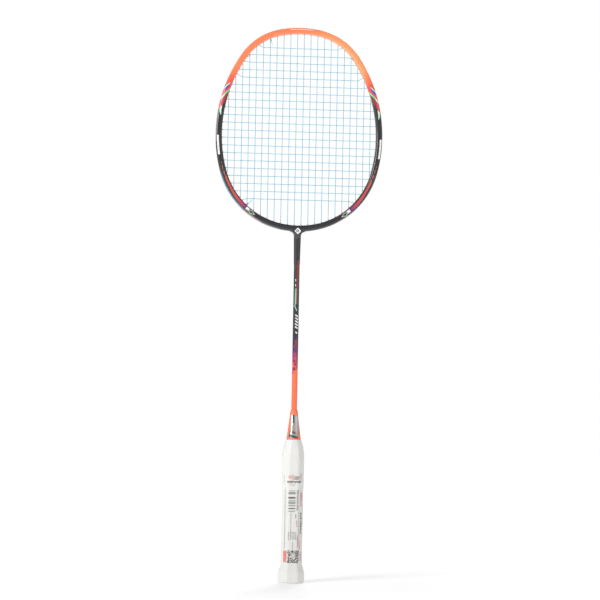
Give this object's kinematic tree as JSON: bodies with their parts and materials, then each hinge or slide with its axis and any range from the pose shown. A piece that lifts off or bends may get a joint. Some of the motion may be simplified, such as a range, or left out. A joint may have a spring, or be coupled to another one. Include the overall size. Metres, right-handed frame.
{
  "type": "badminton racket",
  "caption": "Badminton racket with an oval hollow hoop, woven string bed, tubular shaft, cone cap and octagonal wrapped grip.",
  "frame": {"origin": "centre of the butt end face, where the racket's axis leaves the handle", "axes": "+Z along the shaft from the butt to the crown of the head, +X across the head to the right, -Y towards the front of the string bed"},
  "size_m": [0.2042, 0.0282, 0.675],
  "materials": {
    "frame_paint": "gloss lacquer over carbon composite",
    "foam": "matte foam",
    "insert_metal": "satin",
    "throat_paint": "gloss lacquer",
    "badge_print": "gloss print",
    "shaft_paint": "gloss lacquer over carbon composite",
    "cone_plastic": "satin moulded plastic",
    "foil": "brushed foil",
    "handle_wood": "sanded",
    "plug_plastic": "matte",
    "staple_wire": "bright wire",
    "grip_pu": "perforated tacky polyurethane",
    "finish_vinyl": "satin vinyl",
    "clear_film": "clear gloss film",
    "string_nylon": "gloss nylon",
    "grommet_nylon": "moulded natural nylon"
  },
  "bodies": {
    "root": {"head_frame": "frame_paint", "frame_core": "foam", "t_joint_insert": "insert_metal", "throat_cover": "throat_paint", "throat_badge": "badge_print", "shaft": "shaft_paint", "cone_cap": "cone_plastic", "cone_sticker": "foil", "handle_core": "handle_wood", "butt_plug": "plug_plastic", "grip_staple": "staple_wire", "grip_tape": "grip_pu", "finish_tape": "finish_vinyl", "film_sleeve": "clear_film", "main_string": "string_nylon", "cross_string": "string_nylon", "crown_grommets": "grommet_nylon", "left_grommets": "grommet_nylon", "right_grommets": "grommet_nylon", "base_grommets": "grommet_nylon", "tie_off_grommets": "grommet_nylon"}
  },
  "joints": []
}
